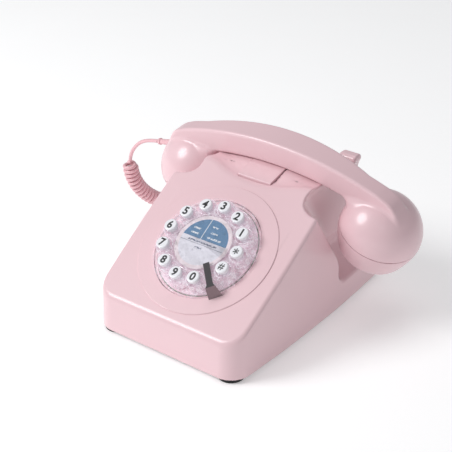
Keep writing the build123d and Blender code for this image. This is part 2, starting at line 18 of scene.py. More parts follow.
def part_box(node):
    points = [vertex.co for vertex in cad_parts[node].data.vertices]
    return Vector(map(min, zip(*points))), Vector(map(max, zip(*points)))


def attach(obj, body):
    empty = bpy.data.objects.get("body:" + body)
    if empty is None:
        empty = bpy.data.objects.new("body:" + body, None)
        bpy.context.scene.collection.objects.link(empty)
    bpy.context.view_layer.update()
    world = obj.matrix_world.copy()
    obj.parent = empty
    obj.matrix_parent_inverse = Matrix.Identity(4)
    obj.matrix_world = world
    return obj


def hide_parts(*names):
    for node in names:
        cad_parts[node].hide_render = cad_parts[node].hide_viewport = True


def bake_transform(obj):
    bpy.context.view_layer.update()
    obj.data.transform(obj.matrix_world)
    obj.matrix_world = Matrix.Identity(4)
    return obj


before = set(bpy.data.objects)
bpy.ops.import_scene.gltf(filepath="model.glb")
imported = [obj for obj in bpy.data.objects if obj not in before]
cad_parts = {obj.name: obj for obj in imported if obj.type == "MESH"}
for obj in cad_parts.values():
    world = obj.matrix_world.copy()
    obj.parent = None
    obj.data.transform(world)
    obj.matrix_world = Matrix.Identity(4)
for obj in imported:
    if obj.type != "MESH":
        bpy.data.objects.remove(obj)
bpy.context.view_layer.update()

MM = 0.001
CASE_LOW, CASE_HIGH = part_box("case_shell")
WORK_ORIGIN = np.array([(CASE_LOW.x + CASE_HIGH.x) / 2, CASE_LOW.y, 0.0])
log = logging.getLogger("telephone")

Colour = tuple[float, float, float]
Field = Callable[[np.ndarray], np.ndarray]


# ---- frames
def to_row(points: Any) -> np.ndarray:
    """Working millimetres to metres in the row frame.

    Args:
        points: one point or an array of points, in millimetres.

    Returns:
        The same points in metres.
    """
    return np.asarray(points, float) * MM + WORK_ORIGIN


class Face:
    """The case's sloping face, with coordinates across it, up it and off it."""

    slope = math.radians(32.7)
    nose_top = 31.9
    dial_up = 65.1

    @classmethod
    def axes(cls) -> np.ndarray:
        """Rows: across, up the face, and away from it."""
        c, s = math.cos(cls.slope), math.sin(cls.slope)
        return np.array([[1.0, 0.0, 0.0], [0.0, c, s], [0.0, -s, c]])

    @classmethod
    def dial_point(cls, local: Any) -> np.ndarray:
        """Working coordinates of points given in the dial's own axes.

        Args:
            local: points across, up and off the face from the dial's centre, in millimetres.

        Returns:
            The points in working millimetres.
        """
        axes = cls.axes()
        centre = np.array([0.0, 0.0, cls.nose_top]) + cls.dial_up * axes[1]
        return np.asarray(local, float) @ axes + centre

    @classmethod
    def dial_local(cls, points: np.ndarray) -> np.ndarray:
        """Dial coordinates of working points, the reverse of dial_point."""
        axes = cls.axes()
        centre = np.array([0.0, 0.0, cls.nose_top]) + cls.dial_up * axes[1]
        return (points - centre) @ axes.T


# ---- meshes
def add_mesh(name: str, points: np.ndarray, faces: Sequence[Sequence[int]],
             smooth: bool = True) -> bpy.types.Object:
    """Make a mesh object from points in metres.

    Args:
        name: the piece's name.
        points: vertices in the row frame, in metres.
        faces: vertex numbers of each face.
        smooth: whether its faces are shaded smooth.

    Returns:
        The new object, linked to the scene.
    """
    mesh = bpy.data.meshes.new(name)
    mesh.from_pydata(np.asarray(points).tolist(), [], [list(map(int, f)) for f in faces])
    mesh.polygons.foreach_set("use_smooth", [smooth] * len(mesh.polygons))
    mesh.update()
    piece = bpy.data.objects.new(name, mesh)
    bpy.context.scene.collection.objects.link(piece)
    return piece


def dress(piece: bpy.types.Object, material: bpy.types.Material) -> bpy.types.Object:
    """Give a piece one material."""
    piece.data.materials.clear()
    piece.data.materials.append(material)
    return piece


def settle(piece: bpy.types.Object) -> bpy.types.Object:
    """Turn a piece's modifiers into plain mesh.

    Args:
        piece: an object with modifiers.

    Returns:
        The same object, with the result as its mesh and no modifier.
    """
    bpy.context.view_layer.update()
    evaluated = piece.evaluated_get(bpy.context.evaluated_depsgraph_get())
    mesh = bpy.data.meshes.new_from_object(evaluated)
    piece.modifiers.clear()
    piece.data = mesh
    return piece


# ---- rounded solids
def both(a: np.ndarray, b: np.ndarray, radius: float) -> np.ndarray:
    """Distance to what two shapes share, with their meeting edge rounded.

    Args:
        a: signed distances to one shape, negative inside.
        b: signed distances to the other.
        radius: the edge's rounding.

    Returns:
        Signed distances to the shared part.
    """
    over_a, over_b = np.maximum(a + radius, 0), np.maximum(b + radius, 0)
    return np.minimum(np.maximum(a, b), -radius) + np.hypot(over_a, over_b)


def either(a: np.ndarray, b: np.ndarray, radius: Any) -> np.ndarray:
    """Distance to two shapes joined, with the inner corner between them filled by a radius."""
    return -both(-a, -b, radius)


def surface_net(values: np.ndarray) -> tuple[np.ndarray, np.ndarray]:
    """Quads over the zero level of a grid of signed distances.

    Args:
        values: distances at the grid's points.

    Returns:
        Vertices in grid steps, and the four vertices of each quad, outwards.
    """
    inside = values < 0
    shape = np.array(values.shape) - 1

    def corner(grid: np.ndarray, c: tuple[int, int, int]) -> np.ndarray:
        return grid[c[0]:c[0] + shape[0], c[1]:c[1] + shape[1], c[2]:c[2] + shape[2]]

    corners = [(i, j, k) for i in (0, 1) for j in (0, 1) for k in (0, 1)]
    count = sum(corner(inside, c).astype(np.int8) for c in corners)
    mixed = (count > 0) & (count < 8)
    cells = np.argwhere(mixed)
    number = np.full(mixed.shape, -1)
    number[mixed] = np.arange(len(cells))
    total, hits = np.zeros((len(cells), 3)), np.zeros(len(cells))
    for c in corners:
        for axis in range(3):
            if c[axis] == 0:
                d = tuple(v + (i == axis) for i, v in enumerate(c))
                va, vb = corner(values, c)[mixed], corner(values, d)[mixed]
                cross = (va < 0) != (vb < 0)
                share = np.where(cross, va / np.where(cross, va - vb, 1), 0)[:, None]
                total += np.where(cross[:, None], np.array(c) + share * (np.array(d) - np.array(c)), 0)
                hits += cross
    points = cells + total / hits[:, None]
    quads = []
    for a in range(3):
        b, c = (a + 1) % 3, (a + 2) % 3
        first = [slice(None)] * 3
        second = [slice(None)] * 3
        first[a], second[a] = slice(0, -1), slice(1, None)
        change = inside[tuple(first)] != inside[tuple(second)]
        places = np.argwhere(change)
        places = places[(places[:, b] > 0) & (places[:, c] > 0)
                        & (places[:, b] < shape[b]) & (places[:, c] < shape[c])]
        step_b, step_c = np.eye(3, dtype=int)[b], np.eye(3, dtype=int)[c]
        ring = [places - step_b - step_c, places - step_c, places, places - step_b]
        quad = np.stack([number[tuple(r.T)] for r in ring], 1)
        leaving = inside[tuple(places.T)]
        quads.append(np.where(leaving[:, None], quad, quad[:, ::-1]))
    return points, np.concatenate(quads)


def slopes(form: Field, points: np.ndarray, reach: float) -> np.ndarray:
    """Gradient of a distance field at points, by differences over reach either way."""
    columns = []
    for axis in range(3):
        shift = np.zeros(3)
        shift[axis] = reach
        columns.append((form(points + shift) - form(points - shift)) / (2 * reach))
    return np.stack(columns, 1)


def skin(name: str, form: Field, low: Sequence[float], high: Sequence[float], step: float,
         place: Callable[[np.ndarray], np.ndarray] = lambda p: p) -> bpy.types.Object:
    """Mesh of a rounded solid, with its true surface normals.

    Args:
        name: the piece's name.
        form: signed distance field in the solid's own millimetres.
        low: lowest corner of the space it fills.
        high: highest corner.
        step: size of a face.
        place: takes the solid's own points to working millimetres.

    Returns:
        The piece, in the row frame.
    """
    axes = [np.arange(a, b + step, step) for a, b in zip(low, high)]
    grid = np.stack(np.meshgrid(*axes, indexing="ij"), -1)
    values = np.stack([form(layer.reshape(-1, 3)).reshape(layer.shape[:2]) for layer in grid])
    points, quads = surface_net(values)
    points = np.array(low) + points * step
    for _ in range(4):
        gradient = slopes(form, points, 0.02)
        size = np.maximum((gradient ** 2).sum(1), 0.2)
        move = (form(points) / size)[:, None] * gradient
        points = points - np.clip(move, -0.6 * step, 0.6 * step)
    normals = slopes(form, points, 0.12)
    origin = place(np.zeros((1, 3)))
    turned = place(normals) - origin
    piece = add_mesh(name, to_row(place(points)), quads)
    turned /= np.maximum(np.linalg.norm(turned, axis=1), 1e-9)[:, None]
    piece.data.normals_split_custom_set_from_vertices(turned.tolist())
    return piece


# ---- shader building
class Signal:
    """One output of a shader tree, with sums written as Python."""

    def __init__(self, sheet: "Sheet", socket: bpy.types.NodeSocket) -> None:
        self.sheet, self.socket = sheet, socket

    def _sum(self, operation: str, first: Any, second: Any = 0.0) -> "Signal":
        """Add one Math node."""
        node = self.sheet.add("ShaderNodeMath", {"operation": operation}, {0: first, 1: second})
        return Signal(self.sheet, node.outputs[0])

    def __add__(self, other: Any) -> "Signal":
        """This plus other."""
        return self._sum("ADD", self, other)

    __radd__ = __add__

    def __mul__(self, other: Any) -> "Signal":
        """This times other."""
        return self._sum("MULTIPLY", self, other)

    __rmul__ = __mul__

    def __sub__(self, other: Any) -> "Signal":
        """This minus other."""
        return self._sum("SUBTRACT", self, other)

    def __rsub__(self, other: Any) -> "Signal":
        """Other minus this."""
        return self._sum("SUBTRACT", other, self)

    def __gt__(self, other: Any) -> "Signal":
        """One where this is larger."""
        return self._sum("GREATER_THAN", self, other)

    def __lt__(self, other: Any) -> "Signal":
        """One where this is smaller."""
        return self._sum("LESS_THAN", self, other)

    def __abs__(self) -> "Signal":
        """Size without sign."""
        return self._sum("ABSOLUTE", self)


class Sheet:
    """A material's node tree while it is being filled in."""

    def __init__(self, name: str) -> None:
        self.material = bpy.data.materials.new(name)
        self.material.use_nodes = True
        self.tree = self.material.node_tree
        self.tree.nodes.clear()

    def add(self, kind: str, settings: dict[str, Any] | None = None,
            sockets: dict[Any, Any] | None = None) -> bpy.types.Node:
        """Add a node.

        Args:
            kind: the node's type.
            settings: its properties, set first.
            sockets: values, signals or sockets by input name or number.

        Returns:
            The node.
        """
        node = self.tree.nodes.new(kind)
        for key, value in (settings or {}).items():
            setattr(node, key, value)
        for key, value in (sockets or {}).items():
            target = node.inputs[key]
            if isinstance(value, Signal):
                self.tree.links.new(value.socket, target)
            elif isinstance(value, bpy.types.NodeSocket):
                self.tree.links.new(value, target)
            else:
                target.default_value = value
        return node

    def signal(self, node: bpy.types.Node, output: Any = 0) -> Signal:
        """One of a node's outputs as a signal."""
        return Signal(self, node.outputs[output])

    def noise(self, scale: float, detail: float = 2.0, stretch: Sequence[float] = (1.0, 1.0, 1.0)) -> Signal:
        """Noise on the object's own coordinates.

        Args:
            scale: lumps per metre.
            detail: octaves.
            stretch: scale along each axis.

        Returns:
            Noise from 0 to 1.
        """
        place = self.add("ShaderNodeTexCoord")
        mapped = self.add("ShaderNodeMapping", {},
                          {"Vector": place.outputs["Object"], "Scale": tuple(stretch)})
        node = self.add("ShaderNodeTexNoise", {},
                        {"Vector": mapped.outputs[0], "Scale": scale, "Detail": detail})
        return self.signal(node)

    def blend(self, share: Any, first: Any, second: Any) -> Signal:
        """Mix two colours.

        Args:
            share: how much of the second, 0 to 1.
            first: a colour or signal.
            second: a colour or signal.

        Returns:
            The mixed colour.
        """
        def colour(value: Any) -> Any:
            return (*value, 1.0) if isinstance(value, tuple) and len(value) == 3 else value

        node = self.add("ShaderNodeMix", {"data_type": "RGBA"},
                        {0: share, 6: colour(first), 7: colour(second)})
        return self.signal(node, 2)

    def bump(self, height: Signal, depth: float, strength: float = 1.0) -> bpy.types.NodeSocket:
        """Surface relief from a height signal, depth in metres."""
        node = self.add("ShaderNodeBump", {}, {"Height": height, "Distance": depth, "Strength": strength})
        return node.outputs["Normal"]

    def finish(self, sockets: dict[str, Any]) -> bpy.types.Material:
        """End the tree with a Principled shader.

        Args:
            sockets: the shader's values and links.

        Returns:
            The finished material.
        """
        shader = self.add("ShaderNodeBsdfPrincipled", {}, sockets)
        self.add("ShaderNodeOutputMaterial", {}, {"Surface": shader.outputs[0]})
        return self.material


def shade(colour: Colour, factor: float) -> Colour:
    """A colour made lighter or darker."""
    return tuple(min(1.0, c * factor) for c in colour)


# ---- finishes
@dataclass(frozen=True)
class SatinPlastic:
    """Injection-moulded plastic with a soft sheen and faint moulding ripple."""

    name: str
    colour: Colour
    roughness: float = 0.3
    coat: float = 0.25
    ripple: float = 0.00002
    drift: float = 0.035
    glow: float = 0.0

    def build(self) -> bpy.types.Material:
        """Make the material."""
        sheet = Sheet(self.name)
        cloud, grain, flow = sheet.noise(14.0, 3.0), sheet.noise(2600.0, 2.0), sheet.noise(170.0, 2.0)
        tone = sheet.blend(cloud, shade(self.colour, 1 - self.drift), shade(self.colour, 1 + self.drift))
        rough = self.roughness + (cloud - 0.5) * 0.06 + (grain - 0.5) * 0.08
        relief = flow + grain * 0.12
        return sheet.finish({"Base Color": tone, "Roughness": rough, "Coat Weight": self.coat,
                             "Coat Roughness": 0.12, "IOR": 1.49, "Emission Strength": self.glow,
                             "Emission Color": (*self.colour, 1.0),
                             "Normal": sheet.bump(relief, self.ripple, 0.6)})


@dataclass(frozen=True)
class MouldedRubber:
    """Matt rubber with a fine tooth."""

    name: str
    colour: Colour

    def build(self) -> bpy.types.Material:
        """Make the material."""
        sheet = Sheet(self.name)
        tooth, dust = sheet.noise(3200.0, 3.0), sheet.noise(60.0, 4.0)
        tone = sheet.blend(dust, self.colour, shade(self.colour, 1.7))
        return sheet.finish({"Base Color": tone, "Roughness": 0.68 + dust * 0.2,
                             "Normal": sheet.bump(tooth, 0.00006)})


@dataclass(frozen=True)
class BrightMetal:
    """Polished or plated metal with faint rubbing marks."""

    name: str
    colour: Colour
    roughness: float = 0.12
    worn: float = 0.08

    def build(self) -> bpy.types.Material:
        """Make the material."""
        sheet = Sheet(self.name)
        rub = sheet.noise(420.0, 4.0, (1.0, 9.0, 1.0))
        tone = sheet.blend(rub, self.colour, shade(self.colour, 0.82))
        return sheet.finish({"Base Color": tone, "Metallic": 1.0,
                             "Roughness": self.roughness + rub * self.worn,
                             "Normal": sheet.bump(rub, 0.000004)})


@dataclass(frozen=True)
class ClearPlastic:
    """Clear acrylic with painted facet light: random cells blend from the deep colour, a painted pink
    reflection, to a painted highlight colour, and emission adds a painted glow.
    """

    name: str
    # highlight_colour is the painted highlight and glow colour, deep the painted reflection colour, glow the
    # painted glow strength
    highlight_colour: Colour
    deep: Colour
    veil: float = 0.1
    highlight_fleck: float = 0.0
    scale: float = 300.0
    glow: float = 0.0
    roughness: float = 0.05

    def build(self) -> bpy.types.Material:
        """Make the material."""
        sheet = Sheet(self.name)
        place = sheet.add("ShaderNodeTexCoord")
        cells = sheet.add("ShaderNodeTexVoronoi", {},
                          {"Vector": place.outputs["Object"], "Scale": self.scale})
        split = sheet.add("ShaderNodeSeparateXYZ", {}, {0: cells.outputs["Color"]})
        facet, edge = sheet.signal(split, 0), sheet.signal(split, 1)
        # painted highlight: cells above 0.35 turn towards the highlight colour; the deep colour stands in
        # for pink reflections
        highlight_share = (facet - 0.35) * 2.0
        tone = sheet.blend(highlight_share, self.deep, self.highlight_colour)
        # painted glow: emission in the highlight colour makes the plastic glow though it is no lamp; the
        # highlight cells are also more opaque
        return sheet.finish({"Base Color": tone, "Roughness": self.roughness + edge * 0.05,
                             "Coat Weight": 0.8,
                             "Alpha": self.veil + facet * self.highlight_fleck,
                             "Emission Color": (*self.highlight_colour, 1.0), "Emission Strength": self.glow,
                             "Normal": sheet.bump(edge, 0.00002)})


@dataclass(frozen=True)
class CircuitLaminate:
    """Green laminate with printed tracks."""

    name: str
    colour: Colour

    def build(self) -> bpy.types.Material:
        """Make the material."""
        sheet = Sheet(self.name)
        place = sheet.add("ShaderNodeTexCoord")
        cells = sheet.add("ShaderNodeTexBrick", {}, {"Vector": place.outputs["Object"], "Scale": 260.0,
                                                     "Mortar Size": 0.03})
        tracks = sheet.signal(cells, 1)
        tone = sheet.blend(tracks, self.colour, shade(self.colour, 2.4))
        return sheet.finish({"Base Color": tone, "Roughness": 0.42 + tracks * 0.1,
                             "Normal": sheet.bump(tracks, 0.00003)})


@dataclass(frozen=True)
class PrintedLabel:
    """Card with a blue upper half, a dividing band, plain printed bars and a pale pink ring round the print
    that is a painted highlight of the clear cover's bevel, on the disc's own map.

    The map's u and v are the place across and up the dial in millimetres, over map_size, plus a half.
    """

    name: str
    blue: Colour = (0.09, 0.23, 0.42)
    paper: Colour = (0.82, 0.80, 0.88)
    ink: Colour = (0.12, 0.14, 0.22)
    # painted highlight: the pale pink ring outside the print stands in for light on the clear cover's bevel
    bevel_highlight: Colour = (0.90, 0.78, 0.83)
    print_radius: float = 19.7
    map_size: float = 50.0
    bars: tuple[tuple[float, float, float, float], ...] = (
        (-11.0, 9.2, 6.2, 1.5), (-10.8, 5.0, 7.0, 1.5), (2.6, 14.0, 5.0, 1.3),
        (4.6, 9.0, 6.6, 1.4), (7.0, 4.6, 12.0, 1.5))
    ink_bars: tuple[tuple[float, float, float, float], ...] = (
        (-0.4, -0.9, 26.0, 1.5), (-1.4, -5.6, 6.0, 1.3))

    def build(self) -> bpy.types.Material:
        """Make the material."""
        sheet = Sheet(self.name)
        uv = sheet.add("ShaderNodeUVMap", {"uv_map": "dial_map"})
        split = sheet.add("ShaderNodeSeparateXYZ", {}, {0: uv.outputs[0]})
        across = (sheet.signal(split, 0) - 0.5) * self.map_size
        up = (sheet.signal(split, 1) - 0.5) * self.map_size

        def bar(x: float, y: float, width: float, height: float) -> Signal:
            broken = sheet.add("ShaderNodeTexNoise", {},
                               {"Vector": uv.outputs[0], "Scale": 46.0, "Detail": 0.0})
            inside = (abs(across - x) < width / 2) * (abs(up - y) < height / 2)
            return inside * (sheet.signal(broken) > 0.44)

        upper = up > 1.6
        tone = sheet.blend(upper, self.paper, self.blue)
        divider = (abs(across + 3.6) < 0.28) * upper
        light = divider
        # mask of the painted bevel highlight ring, outside the print
        rim = (across * across + up * up) > self.print_radius ** 2
        for place in self.bars:
            light = light + bar(*place)
        tone = sheet.blend(light * upper, tone, (0.85, 0.87, 0.9))
        dark = (abs(up + 2.7) < 0.16) * 1.0
        for place in self.ink_bars:
            dark = dark + bar(*place)
        tone = sheet.blend(dark * (1 - upper), tone, self.ink)
        # lay the painted bevel highlight ring over the card's edge
        tone = sheet.blend(rim, tone, self.bevel_highlight)
        fibre = sheet.noise(1500.0, 3.0)
        return sheet.finish({"Base Color": tone, "Roughness": 0.42 + fibre * 0.12,
                             "Normal": sheet.bump(fibre, 0.00001)})


class Finish(Enum):
    """The telephone's finishes, by the record's slot."""

    PINK = ("pink_shell", SatinPlastic("pink_moulding", (0.87, 0.615, 0.655)))
    GREY = ("base_grey", SatinPlastic("grey_moulding", (0.32, 0.31, 0.33), roughness=0.5, coat=0.0))
    FOOT = ("foot_rubber", MouldedRubber("black_rubber", (0.012, 0.012, 0.013)))
    SCREW = ("screw_steel", BrightMetal("zinc_steel", (0.62, 0.61, 0.6), 0.25))
    # painted reflection: the chrome's colour is darkened to stand in for the dark surroundings it reflects
    CHROME = ("stop_chrome", BrightMetal("chrome_dark_reflection", (0.30, 0.28, 0.29), 0.06, 0.04))
    # painted facet highlights, painted pink reflections and a painted glow on the clear dial
    CLEAR = ("clear_dial", ClearPlastic("clear_acrylic", (0.97, 0.93, 1.0), (0.90, 0.64, 0.72),
                                        veil=0.04, highlight_fleck=0.26, scale=560.0, glow=0.22))
    WHITE = ("key_white", SatinPlastic("white_button", (0.93, 0.93, 0.97), roughness=0.22, coat=0.4,
                                       drift=0.01))
    MAT = ("keypad_rubber", MouldedRubber("pink_keypad_rubber", (0.80, 0.52, 0.58)))
    # faint painted facet highlights on the label's clear window
    WINDOW = ("clear_window", ClearPlastic("clear_window", (0.95, 0.95, 1.0), (0.9, 0.9, 0.95), 0.06))
    # painted facet highlights, painted reflections and a painted glow on the crystal collars
    COLLAR = ("crystal", ClearPlastic("crystal_lavender", (0.98, 0.96, 1.0), (0.80, 0.60, 0.72),
                                      veil=0.55, highlight_fleck=0.3, scale=620.0, glow=0.12))
    BOARD = ("circuit_board", CircuitLaminate("green_laminate", (0.02, 0.16, 0.06)))
    LABEL = ("label_card", PrintedLabel("dial_label"))
    BLACK = ("inner_black", SatinPlastic("black_moulding", (0.02, 0.02, 0.022), roughness=0.45, coat=0.0))
    CORD = ("cord_pink", SatinPlastic("pink_cord", (0.86, 0.53, 0.57), roughness=0.34, coat=0.2))

    @property
    def slot(self) -> str:
        """Name of the record's material slot."""
        return self.value[0]


class Paintbox:
    """Makes each finish's material once, and dresses pieces with it."""

    def __init__(self) -> None:
        self.materials = {finish: finish.value[1].build() for finish in Finish}

    def dress(self, piece: bpy.types.Object, finish: Finish) -> bpy.types.Object:
        """Give a new piece a finish's material."""
        dress(piece, self.materials[finish])
        return (piece, finish.slot)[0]

    def dress_nodes(self) -> None:
        """Give each CAD node the finish of its own slots."""
        by_slot = {finish.slot: self.materials[finish] for finish in Finish}
        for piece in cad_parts.values():
            for holder in piece.material_slots:
                name = holder.material.name if holder.material else ""
                found = [m for s, m in by_slot.items() if name == s or name.startswith(s + ".")]
                if found:
                    holder.material = found[0]
                else:
                    log.warning("node %s has slot %r", piece.name, name)
        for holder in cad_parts["label_cover"].material_slots:
            holder.material = self.materials[Finish.WINDOW]


# ---- camera, light and floor
@dataclass
class Studio:
    """Camera, soft lights and a pale floor."""

    camera_place: tuple[float, float, float] = (0.4720, -0.6561, 0.5062)
    camera_azimuth: float = 37.24
    camera_elevation: float = 28.52
    lens: float = 95.6
    floor_half: float = 12.0
    lamps: tuple[tuple[str, tuple[float, float, float], float, float], ...] = (
        ("window", (-0.95, -1.05, 1.25), 0.9, 19.5),
        ("overhead", (-0.2, 0.2, 1.7), 1.0, 3.0),
        ("kicker", (0.9, -1.2, 1.1), 0.25, 0.35))

    def camera(self) -> None:
        """Place the camera."""
        data = bpy.data.cameras.new("view")
        data.lens, data.sensor_width = self.lens, 36.0
        data.clip_start, data.clip_end = 0.01, 50.0
        camera = bpy.data.objects.new("view", data)
        camera.location = self.camera_place
        camera.rotation_euler = (math.radians(90 - self.camera_elevation), 0,
                                 math.radians(self.camera_azimuth))
        bpy.context.scene.collection.objects.link(camera)
        bpy.context.scene.camera = camera

    def lights(self) -> None:
        """Hang the lamps and light the room."""
        for name, place, size, power in self.lamps:
            data = bpy.data.lights.new(name, "AREA")
            data.shape, data.size, data.energy = "DISK", size, power
            lamp = bpy.data.objects.new(name, data)
            lamp.location = place
            lamp.rotation_euler = (Vector((0, 0, 0.05)) - Vector(place)).to_track_quat("-Z", "Y").to_euler()
            bpy.context.scene.collection.objects.link(lamp)
        world = bpy.data.worlds.new("room")
        world.use_nodes = True
        world.node_tree.nodes["Background"].inputs["Color"].default_value = (0.96, 0.97, 1.0, 1.0)
        world.node_tree.nodes["Background"].inputs["Strength"].default_value = 0.33
        bpy.context.scene.world = world
        bpy.context.scene.view_settings.view_transform = "Standard"

    def floor(self) -> None:
        """Lay the floor."""
        half = self.floor_half
        points = [(-half, -half, 0), (half, -half, 0), (half, half, 0), (-half, half, 0)]
        floor = add_mesh("floor", np.array(points), [(0, 1, 2, 3)], smooth=False)
        dress(floor, SatinPlastic("white_floor", (0.96, 0.96, 0.96), roughness=0.7, coat=0.0, drift=0.004,
                                  glow=0.30).build())


# ---- cord
@dataclass
class CurlyCord:
    """The handset's curly cord, from its strain relief to the grommet at the back of the case."""

    route: tuple[tuple[float, float, float], ...] = (
        (-122.66, 145.47, 87.78), (-137, 146.3, 85), (-149, 146.8, 77), (-157, 147.3, 65.5),
        (-158.5, 148, 51.7),
        (-157.3, 151.4, 38.2), (-154.1, 160.1, 23.9), (-148, 173.8, 12.2), (-139.5, 188.6, 7.3),
        (-122.8, 208.5, 7.3), (-98.1, 221.6, 7.3), (-72, 230.5, 7.3), (-60, 235.5, 4.2),
        (-47.5, 238.5, 5.5), (-37, 235, 9.6), (-32, 226.5, 13.2), (-32, 214.8, 14))
    wire: float = 3.2
    outer: float = 14.0
    pitch: float = 3.9
    curl_from: float = 52.0
    curl_to: float = 206.0
    sides: int = 12
    steps_per_turn: int = 20
    least_step: float = 0.1

    def centreline(self) -> np.ndarray:
        """The route's smooth line, as evenly spaced points in metres."""
        data = bpy.data.curves.new("cord_route", "CURVE")
        data.dimensions = "3D"
        spline = data.splines.new("NURBS")
        spline.points.add(len(self.route) - 1)
        for point, place in zip(spline.points, to_row(self.route)):
            point.co = (*place, 1.0)
        spline.order_u = 3
        spline.use_endpoint_u = True
        spline.resolution_u = 24
        holder = bpy.data.objects.new("cord_route", data)
        bpy.context.scene.collection.objects.link(holder)
        bpy.context.view_layer.update()
        mesh = bpy.data.meshes.new_from_object(holder.evaluated_get(bpy.context.evaluated_depsgraph_get()))
        line = np.array([v.co for v in mesh.vertices])
        bpy.data.objects.remove(holder)
        bpy.data.meshes.remove(mesh)
        away = np.concatenate([[0], np.cumsum(np.linalg.norm(np.diff(line, axis=0), axis=1))])
        spots = np.linspace(0, away[-1], 1200)
        return np.stack([np.interp(spots, away, line[:, i]) for i in range(3)], 1)

    def helix(self) -> np.ndarray:
        """The wire's own line: straight ends and a helix between."""
        line = self.centreline()
        away = np.concatenate([[0], np.cumsum(np.linalg.norm(np.diff(line, axis=0), axis=1))]) / MM
        tangent = np.gradient(line, axis=0)
        tangent /= np.linalg.norm(tangent, axis=1)[:, None]
        side = np.cross(tangent[0], (0, 0, 1.0))
        sides = []
        for direction in tangent:
            side = side - direction * (side @ direction)
            side /= np.linalg.norm(side)
            sides.append(side)
        sides = np.array(sides)
        radius = (self.outer - self.wire) / 2
        end = min(self.curl_to, away[-1] - 40)
        plain = np.arange(0, self.curl_from - 3.0, 2.5)
        curl = np.arange(self.curl_from - 3.0, end + 3.0, self.pitch / self.steps_per_turn)
        tail = np.append(np.arange(end + 3.0, away[-1], 2.5), away[-1])
        spots = np.concatenate([plain, curl, tail])
        spots = spots[np.append(True, np.diff(spots) > self.least_step)]
        ramp = np.clip(np.minimum(spots - self.curl_from + 3.0, end + 3.0 - spots) / 5.5, 0, 1)
        ramp = ramp * ramp * (3 - 2 * ramp)
        angle = 2 * math.pi * (spots - self.curl_from) / self.pitch

        def at(values: np.ndarray) -> np.ndarray:
            return np.stack([np.interp(spots, away, values[:, i]) for i in range(3)], 1)

        first, along = at(sides), at(tangent)
        second = np.cross(along, first)
        swing = np.cos(angle)[:, None] * first + np.sin(angle)[:, None] * second
        return at(line) + swing * (radius * ramp * MM)[:, None]

    def tube(self, line: np.ndarray) -> tuple[np.ndarray, list[tuple[int, ...]]]:
        """Round tube along a line of points.

        Args:
            line: the centreline, in metres.

        Returns:
            Vertices and faces, closed at both ends.
        """
        tangent = np.gradient(line, axis=0)
        tangent /= np.linalg.norm(tangent, axis=1)[:, None]
        side = np.cross(tangent[0], (0, 0, 1.0))
        rings = []
        turn = np.linspace(0, 2 * math.pi, self.sides, endpoint=False)
        for spot, direction in zip(line, tangent):
            side = side - direction * (side @ direction)
            side /= np.linalg.norm(side)
            other = np.cross(direction, side)
            circle = np.cos(turn)[:, None] * side + np.sin(turn)[:, None] * other
            rings.append(spot + circle * self.wire / 2 * MM)
        points = np.concatenate(rings)
        n = self.sides
        faces = [(r * n + i, r * n + (i + 1) % n, (r + 1) * n + (i + 1) % n, (r + 1) * n + i)
                 for r in range(len(line) - 1) for i in range(n)]
        last = (len(line) - 1) * n
        faces.append(tuple(range(n - 1, -1, -1)))
        faces.append(tuple(last + i for i in range(n)))
        return points, faces

    def build(self, paints: Paintbox) -> None:
        """Args:
            paints: the finishes.
        """
        line = self.helix()
        piece = add_mesh("curly_cord", *self.tube(line))
        paints.dress(piece, Finish.CORD)
        tuple(to_row((-150, 165, 20)))
        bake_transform(piece)
        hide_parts("cord_lead", "cord_curl", "cord_tail")


